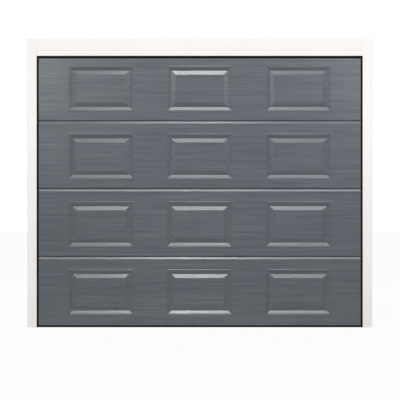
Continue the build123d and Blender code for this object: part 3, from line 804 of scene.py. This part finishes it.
lift = {
    "x": 1228.0, "y": 70.0, "pinZ": 45.0, "pulleyY": 110.0, "pulleyZ": 2012.0, "pulleyRadius": 40.0,
    "drumRadius": 50.0, "runZ": 2052.0, "cableRadius": 1.5, "lobeShare": 0.78, "cableSides": 12,
    "step": 2.2, "lay": 26.0, "cableStart": 7.0,
    # height over the pin and radius
    "sleeve": ((9.0, 2.2), (9.6, 3.2), (12.0, 3.6), (24.0, 3.6), (26.0, 3.2), (26.6, 2.2)),
    "sleeveSteps": 20, "loopRadius": 5.8, "loopSteps": 32, "loopSides": 10,
}
drum = {
    "inner": 12.0, "outer": 22.0, "steps": 72,
    # depth from each face, and radius
    "innerFace": ((0, 12.6), (0, 21.0), (6, 23.0), (6, 41.0), (0, 43.0), (0, 49.4)),
    "outerFace": (
        (5, 48.5), (4, 54.8), (3, 56.0), (0.8, 56.0), (0, 55.0), (0, 44.0), (5, 42.0), (5, 24.0),
        (0, 22.0), (0, 12.6),
    ),
    "grooves": 6, "grooveStart": 3.2, "groovePitch": 4.4, "grooveHalf": 1.4, "crest": 50.2, "floor": 48.5,
}
pulley = {
    # distance from the middle of the width, and radius, from the bore out into the groove
    "half": (
        (4.5, 7.2), (4.5, 14.0), (2.3, 15.5), (2.3, 31.0), (4.5, 33.0), (4.5, 43.2), (3.7, 44.0),
        (3.3, 43.6), (1.6, 39.2),
    ),
    "grooveRadius": 38.4, "steps": 64,
}


def drumDraft():
    draft = newDraft()
    low, high = lift["x"] - drum["inner"], lift["x"] + drum["outer"]
    profile = profileFrom(low, drum["innerFace"])
    for k in range(drum["grooves"]):
        x, half = low + drum["grooveStart"] + k * drum["groovePitch"], drum["grooveHalf"]
        profile += [(x - half, drum["crest"]), (x, drum["floor"]), (x + half, drum["crest"])]
    profile += profileFrom(high, drum["outerFace"], -1)
    addLathe(draft, profile, spring["axisY"], spring["axisZ"], drum["steps"])
    return draft


def pulleyDraft():
    draft = newDraft()
    profile = profileFrom(lift["x"], pulley["half"], -1) + [(lift["x"], pulley["grooveRadius"])]
    profile += profileFrom(lift["x"], pulley["half"][::-1])
    addLathe(draft, profile, lift["pulleyY"], lift["pulleyZ"], pulley["steps"])
    return draft


def cablePath():
    points = [Vector((lift["x"], lift["y"], lift["pinZ"] + lift["cableStart"]))]

    def run(end):
        start = points[-1].copy()
        count = max(1, round((end - start).length / lift["step"]))
        points.extend(start.lerp(end, (i + 1) / count) for i in range(count))

    def bend(centre, radius, first, last):
        count = max(1, round(radius * abs(last - first) / lift["step"]))
        for i in range(count):
            angle = first + (last - first) * (i + 1) / count
            points.append(Vector((
                lift["x"], centre[0] - radius * math.cos(angle), centre[1] + radius * math.sin(angle)
            )))

    run(Vector((lift["x"], lift["y"], lift["pulleyZ"])))
    bend((lift["pulleyY"], lift["pulleyZ"]), lift["pulleyRadius"], 0.0, math.pi / 2)
    run(Vector((lift["x"], spring["axisY"], lift["runZ"])))
    bend((spring["axisY"], spring["axisZ"]), lift["drumRadius"], math.pi / 2, math.pi * 2)
    return points


def cableDraft():
    draft = newDraft()
    lobes = (lift["cableRadius"], lift["cableRadius"] * lift["lobeShare"])
    addTube(draft, cablePath(), lambda j: lobes[j % 2], lift["cableSides"], math.tau / lift["lay"])
    # A pressed sleeve and the loop round the bracket's pin
    x, y, z = lift["x"], lift["y"], lift["pinZ"]
    turns = [math.tau * k / lift["sleeveSteps"] for k in range(lift["sleeveSteps"])]
    rings = [
        [(x + radius * math.cos(turn), y + radius * math.sin(turn), z + rise) for turn in turns]
        for rise, radius in lift["sleeve"]
    ]
    addRings(draft, rings, caps=(True, True))
    radius, steps = lift["loopRadius"], lift["loopSteps"]
    turns = [math.tau * i / steps for i in range(steps + 1)]
    loop = [Vector((x, y + radius * math.sin(turn), z + radius * math.cos(turn))) for turn in turns]
    addTube(draft, loop, lambda j: lift["cableRadius"], lift["loopSides"], capped=False)
    return draft


makePair("wire_rope", cableDraft(), finishes["cableSteel"], "lift_cable")
makePiece("grooved_drums", bothSides(drumDraft()), castAluminium, ["cable_drums"])
nylon = [finishes["rollerNylon"]]
makePiece("grooved_pulleys", bothSides(pulleyDraft()), nylon, ["cable_pulleys"])
print("cables, drums and pulleys made")


# Fasteners: flanged hexagon screws, flat round bolt heads and hinge pin heads

fastener = {
    "across": 8.0, "head": 4.4, "flange": 7.4, "flangeThickness": 1.2, "steps": 24,
    "headEdge": 0.7, "topShare": 0.92, "footShare": 1.25,
    "roundRadius": 7.0, "roundHead": 1.9,
    # shares of the round head's height and radius
    "roundShape": ((0.0, 1.0), (0.35, 0.98), (0.75, 0.8), (1.0, 0.4)),
}


def addHead(draft, place, direction, kind="hex"):
    axis = Vector(direction)
    across = axis.orthogonal().normalized()
    other = axis.cross(across)
    base, steps = Vector(place), fastener["steps"]
    half, head, rim = fastener["across"] / 2, fastener["head"], fastener["flangeThickness"]

    def disc(radius):
        return lambda k: radius

    def hexagon(k):
        angle = (math.tau * k / steps) % (math.pi / 3)
        return half / math.cos(angle - math.pi / 6)

    if kind == "hex":
        layers = [
            (0.0, disc(fastener["flange"])), (rim / 2, disc(fastener["flange"])),
            (rim, disc(half * fastener["footShare"])), (rim, hexagon),
            (rim + head - fastener["headEdge"], hexagon), (rim + head, disc(half * fastener["topShare"])),
        ]
    else:
        layers = [
            (fastener["roundHead"] * high, disc(fastener["roundRadius"] * wide))
            for high, wide in fastener["roundShape"]
        ]
    rings = [
        ringRound(base + axis * distance, across, other, radiusAt, steps) for distance, radiusAt in layers
    ]
    addRings(draft, rings, caps=(True, True))


def placeHeads(name, draft):
    makePiece(name, draft, [finishes["boltZinc"]])


hinge = {
    "joints": (520.0, 1020.0, 1520.0), "sideStart": 1155.0, "width": 58.0, "sideY": 64.0, "middleY": 62.5,
    "middleStarts": (334.5, -392.5), "inset": 15.0, "lowDrop": 54.0, "highRise": 40.0, "barrelY": 82.0,
    # how far a pin's head stands out, and its radius
    "pin": ((0, 0.0), (0, 5.5), (1.4, 5.2), (2.2, 3.4), (2.4, 0.0)), "pinSteps": 24,
}

hingeScrews = newDraft()
for joint in hinge["joints"]:
    starts = [(hinge["sideStart"], hinge["sideY"]), (-hinge["sideStart"] - hinge["width"], hinge["sideY"])]
    starts += [(start, hinge["middleY"]) for start in hinge["middleStarts"]]
    for start, y in starts:
        for x in (start + hinge["inset"], start + hinge["width"] - hinge["inset"]):
            for z in (joint - hinge["lowDrop"], joint + hinge["highRise"]):
                addHead(hingeScrews, (x, y, z), (0, 1, 0))
    for start in hinge["middleStarts"]:
        for x, direction in ((start, -1), (start + hinge["width"], 1)):
            pin = profileFrom(x, hinge["pin"], direction)
            addLathe(hingeScrews, pin, hinge["barrelY"], joint, hinge["pinSteps"])
placeHeads("hinge_screws", hingeScrews)

bracket = {
    "faceY": 64.5, "x": (1168.0, 1198.0), "bottomZ": (46.0, 108.0), "topZ": 1901.0,
    "armX": 1184.0, "armY": 69.5, "armZ": (1936.0, 1972.0),
}
bracketScrews = newDraft()
for x in bracket["x"]:
    for z in (*bracket["bottomZ"], bracket["topZ"]):
        addHead(bracketScrews, (x, bracket["faceY"], z), (0, 1, 0))
for z in bracket["armZ"]:
    addHead(bracketScrews, (bracket["armX"], bracket["armY"], z), (0, 1, 0), "round")
placeHeads("bracket_screws", bothSides(bracketScrews))

trackBolt = {
    "inside": 1262.5, "outside": 1266.0, "postZ": (310.0, 890.0, 1470.0, 1712.0), "bendPlace": 50.0,
    "railY": (400.0, 1250.0, 2250.0, 2345.0), "postDepth": 112.0,
}
trackBolts = newDraft()
boltPlaces = [(track["rollerY"], z) for z in trackBolt["postZ"]]
bendPlace = math.radians(trackBolt["bendPlace"])
boltPlaces.append((
    track["curveEndY"] - track["curveRadius"] * math.cos(bendPlace),
    track["curveStart"] + track["curveRadius"] * math.sin(bendPlace),
))
boltPlaces += [(y, z) for y in trackBolt["railY"] for z in (track["lowerZ"], track["upperZ"])]
for y, z in boltPlaces:
    # Round heads inside the tracks, and outside too where the post doesn't cover them
    addHead(trackBolts, (trackBolt["inside"], y, z), (-1, 0, 0), "round")
    if y > trackBolt["postDepth"]:
        addHead(trackBolts, (trackBolt["outside"], y, z), (1, 0, 0), "round")
placeHeads("track_bolts", bothSides(trackBolts))

shaftGear = {
    "bearingX": (-27.0, 27.0), "bearingY": 2432.0, "bearingZ": (2076.0, 2100.0),
    "crossbarX": 1266.0, "crossbarY": 2415.0, "crossbarZ": (2077.0, 2099.0),
}
bearingBolts = newDraft()
for x in shaftGear["bearingX"]:
    for z in shaftGear["bearingZ"]:
        addHead(bearingBolts, (x, shaftGear["bearingY"], z), (0, 1, 0))
for side in (-1, 1):
    for z in shaftGear["crossbarZ"]:
        place = (side * shaftGear["crossbarX"], shaftGear["crossbarY"], z)
        addHead(bearingBolts, place, (side, 0, 0), "round")
placeHeads("shaft_gear_bolts", bearingBolts)
print("fasteners placed")


# CAD pieces that stay: softened folds and their finishes

softening = {"smoothAngle": 34.0, "bevelAngle": 40.0, "segments": 2, "weld": 0.00001}


def smoothGroup():
    # Shades faces smooth except across edges sharper than the given angle
    group = bpy.data.node_groups.new("smoothByFold", "GeometryNodeTree")
    for way in ("INPUT", "OUTPUT"):
        group.interface.new_socket("Geometry", in_out=way, socket_type="NodeSocketGeometry")
    given, result = group.nodes.new("NodeGroupInput"), group.nodes.new("NodeGroupOutput")
    angle = group.nodes.new("GeometryNodeInputMeshEdgeAngle").outputs["Unsigned Angle"]
    limit = math.radians(softening["smoothAngle"])
    flat = addNode(group, "FunctionNodeCompare", {0: angle, 1: limit}, operation="LESS_THAN").outputs[0]
    shape = given.outputs[0]
    for domain, smooth in (("FACE", True), ("EDGE", flat)):
        inputs = {"Geometry": shape, "Shade Smooth": smooth}
        shape = addNode(group, "GeometryNodeSetShadeSmooth", inputs, domain=domain).outputs[0]
    group.links.new(shape, result.inputs[0])
    return group


smoothing = smoothGroup()
kept = {
    # finish and width of the softened edge in metres, and the nodes that get them
    ("frameWhite", 0.0002): ["left_post", "right_post"],
    ("frameWhite", 0.0008): ["head_panel"],
    ("sealBlack", 0.0006): ["left_side_seal", "right_side_seal", "head_seal"],
    ("sealBlack", 0.0004): ["joint_seals"],
    ("sealBlack", 0.0007): ["bottom_seal"],
    ("sealBlack", 0.0012): ["rail_end_stops"],
    ("endCapZinc", 0.0004): ["end_caps"],
    ("railAluminium", 0.0005): ["bottom_rail"],
    ("galvanised", 0.0005): ["corner_plates", "rear_plates", "rail_hangers"],
    ("galvanised", 0.0006): [
        "post_feet", "side_hinge_lower_leaves", "side_hinge_upper_leaves", "middle_hinge_lower_leaves",
        "middle_hinge_upper_leaves", "rear_crossbar",
    ],
    ("galvanised", 0.0008): ["bottom_brackets", "top_brackets"],
    ("castAluminium", 0.0008): ["centre_bearing_bracket"],
    ("shaftSteel", 0.0008): ["torsion_shaft"],
}


def softenNode(node, finish, edge):
    node.data.materials.clear()
    node.data.materials.append(finishes[finish])
    node.modifiers.new("weld", "WELD").merge_threshold = softening["weld"]
    soften = node.modifiers.new("soften", "BEVEL")
    soften.width, soften.segments, soften.limit_method = edge, softening["segments"], "ANGLE"
    soften.angle_limit, soften.use_clamp_overlap = math.radians(softening["bevelAngle"]), True
    node.modifiers.new("shade", "NODES").node_group = smoothing


for (finish, edge), names in kept.items():
    for name in names:
        softenNode(nodes[name], finish, edge)
print("CAD pieces finished:", sum(len(names) for names in kept.values()))


# Floor, world, lights and camera

stage = {
    "floorLow": (-40.0, -40.0), "floorHigh": (42.0, 40.0), "floorColor": (0.72, 0.72, 0.72),
    "floorGlow": 0.96, "ambient": 0.32, "white": (1.0, 1.0, 1.0),
}


def seenRays(tree):
    # 1 for rays that show the stage, in the picture or in a reflection, and 0 for those that light the door
    rays = addNode(tree, "ShaderNodeLightPath").outputs
    mask = mathNode(tree, "MAXIMUM", rays["Is Camera Ray"], rays["Is Glossy Ray"])
    return mathNode(tree, "MAXIMUM", mask, rays["Is Transmission Ray"])


def makeFloor():
    mesh = bpy.data.meshes.new("floor")
    (x0, y0), (x1, y1) = stage["floorLow"], stage["floorHigh"]
    mesh.from_pydata([(x0, y0, 0), (x1, y0, 0), (x1, y1, 0), (x0, y1, 0)], [], [(0, 1, 2, 3)])
    material = bpy.data.materials.new("paleFloor")
    material.use_nodes = True
    tree = material.node_tree
    tree.nodes.clear()
    diffuse = addNode(tree, "ShaderNodeBsdfDiffuse", {"Color": asInput(stage["floorColor"])})
    glow = addNode(tree, "ShaderNodeEmission", {"Color": asInput(stage["white"]), "Strength": 1.0})
    share = mathNode(tree, "MULTIPLY", seenRays(tree), stage["floorGlow"])
    mixed = addNode(tree, "ShaderNodeMixShader", {0: share, 1: diffuse.outputs[0], 2: glow.outputs[0]})
    addNode(tree, "ShaderNodeOutputMaterial", {"Surface": mixed.outputs[0]})
    mesh.materials.append(material)
    floor = addObject("floor", mesh)


def makeWorld():
    world = bpy.data.worlds.new("paleStudio")
    world.use_nodes = True
    tree = world.node_tree
    tree.nodes.clear()
    white = asInput(stage["white"])
    ambient = addNode(tree, "ShaderNodeBackground", {"Color": white, "Strength": stage["ambient"]})
    backdrop = addNode(tree, "ShaderNodeBackground", {"Color": white, "Strength": 1.0})
    inputs = {0: seenRays(tree), 1: ambient.outputs[0], 2: backdrop.outputs[0]}
    mixed = addNode(tree, "ShaderNodeMixShader", inputs)
    addNode(tree, "ShaderNodeOutputWorld", {"Surface": mixed.outputs[0]})
    bpy.context.scene.world = world


lamps = {
    # place, target, width, height, watts, use and beam angle: "shade" lamps light surfaces, and "shine"
    # lamps show only in reflections
    "farFront": ((-2.2, -20.0, 6.6), (1.234, 0.0, 1.0), 5.0, 5.0, 3250.0, "shade", 180),
    "fillRight": ((4.5, -9.0, 4.0), (2.5, 0.0, 2.1), 1.2, 1.2, 2.8, "shade", 30),
    "softRear": ((1.234, 6.5, 4.0), (1.234, 1.0, 1.2), 6.0, 3.5, 130.0, "both", 180),
    "sheenLeft": ((-0.9, -3.0, 2.5), (0.1, 0.0, 1.8), 0.8, 0.8, 9.0, "shine", 70),
    "sheenRight": ((3.4, -3.0, 2.5), (2.4, 0.0, 1.8), 0.8, 0.8, 8.4, "shine", 70),
    "glintLow": ((1.4, -2.6, 2.85), (1.4, 0.0, 0.3), 3.0, 0.6, 13.0, "shine", 62),
    "glintHigh": ((1.4, -1.9, 4.2), (1.4, 0.0, 1.4), 2.8, 0.8, 6.4, "shine", 48),
    "coreLow": ((1.15, -1.5, 1.75), (1.2, 0.0, 0.28), 0.9, 0.35, 1.5, "shine", 42),
    "coreHigh": ((1.15, -1.5, 3.15), (1.2, 0.0, 1.82), 0.9, 0.35, 0.95, "shine", 24),
}


def makeLamps():
    for name, (place, target, width, height, watts, shown, beam) in lamps.items():
        data = bpy.data.lights.new(name, "AREA")
        data.shape, data.size, data.size_y, data.energy = "RECTANGLE", width, height, watts
        data.spread = math.radians(beam)
        lamp = addObject(name, data)
        lamp.location = place
        lamp.rotation_euler = (Vector(target) - Vector(place)).to_track_quat("-Z", "Y").to_euler()
        lamp.visible_diffuse, lamp.visible_glossy = shown != "shine", shown != "shade"
        lamp.visible_camera = False


view = {"distance": 14.0, "widthSeen": 2.9444, "x": 1.2362, "z": 0.9385, "sensor": 36.0}


def makeCamera():
    data = bpy.data.cameras.new("camera")
    data.sensor_width = view["sensor"]
    data.lens = view["sensor"] * view["distance"] / view["widthSeen"]
    camera = addObject("camera", data)
    camera.location = (view["x"], -view["distance"], view["z"])
    camera.rotation_euler = (math.radians(90), 0, 0)
    bpy.context.scene.camera = camera


makeFloor()
makeWorld()
makeLamps()
makeCamera()
bpy.context.scene.view_settings.view_transform = "Standard"
print("stage, lamps and camera set")
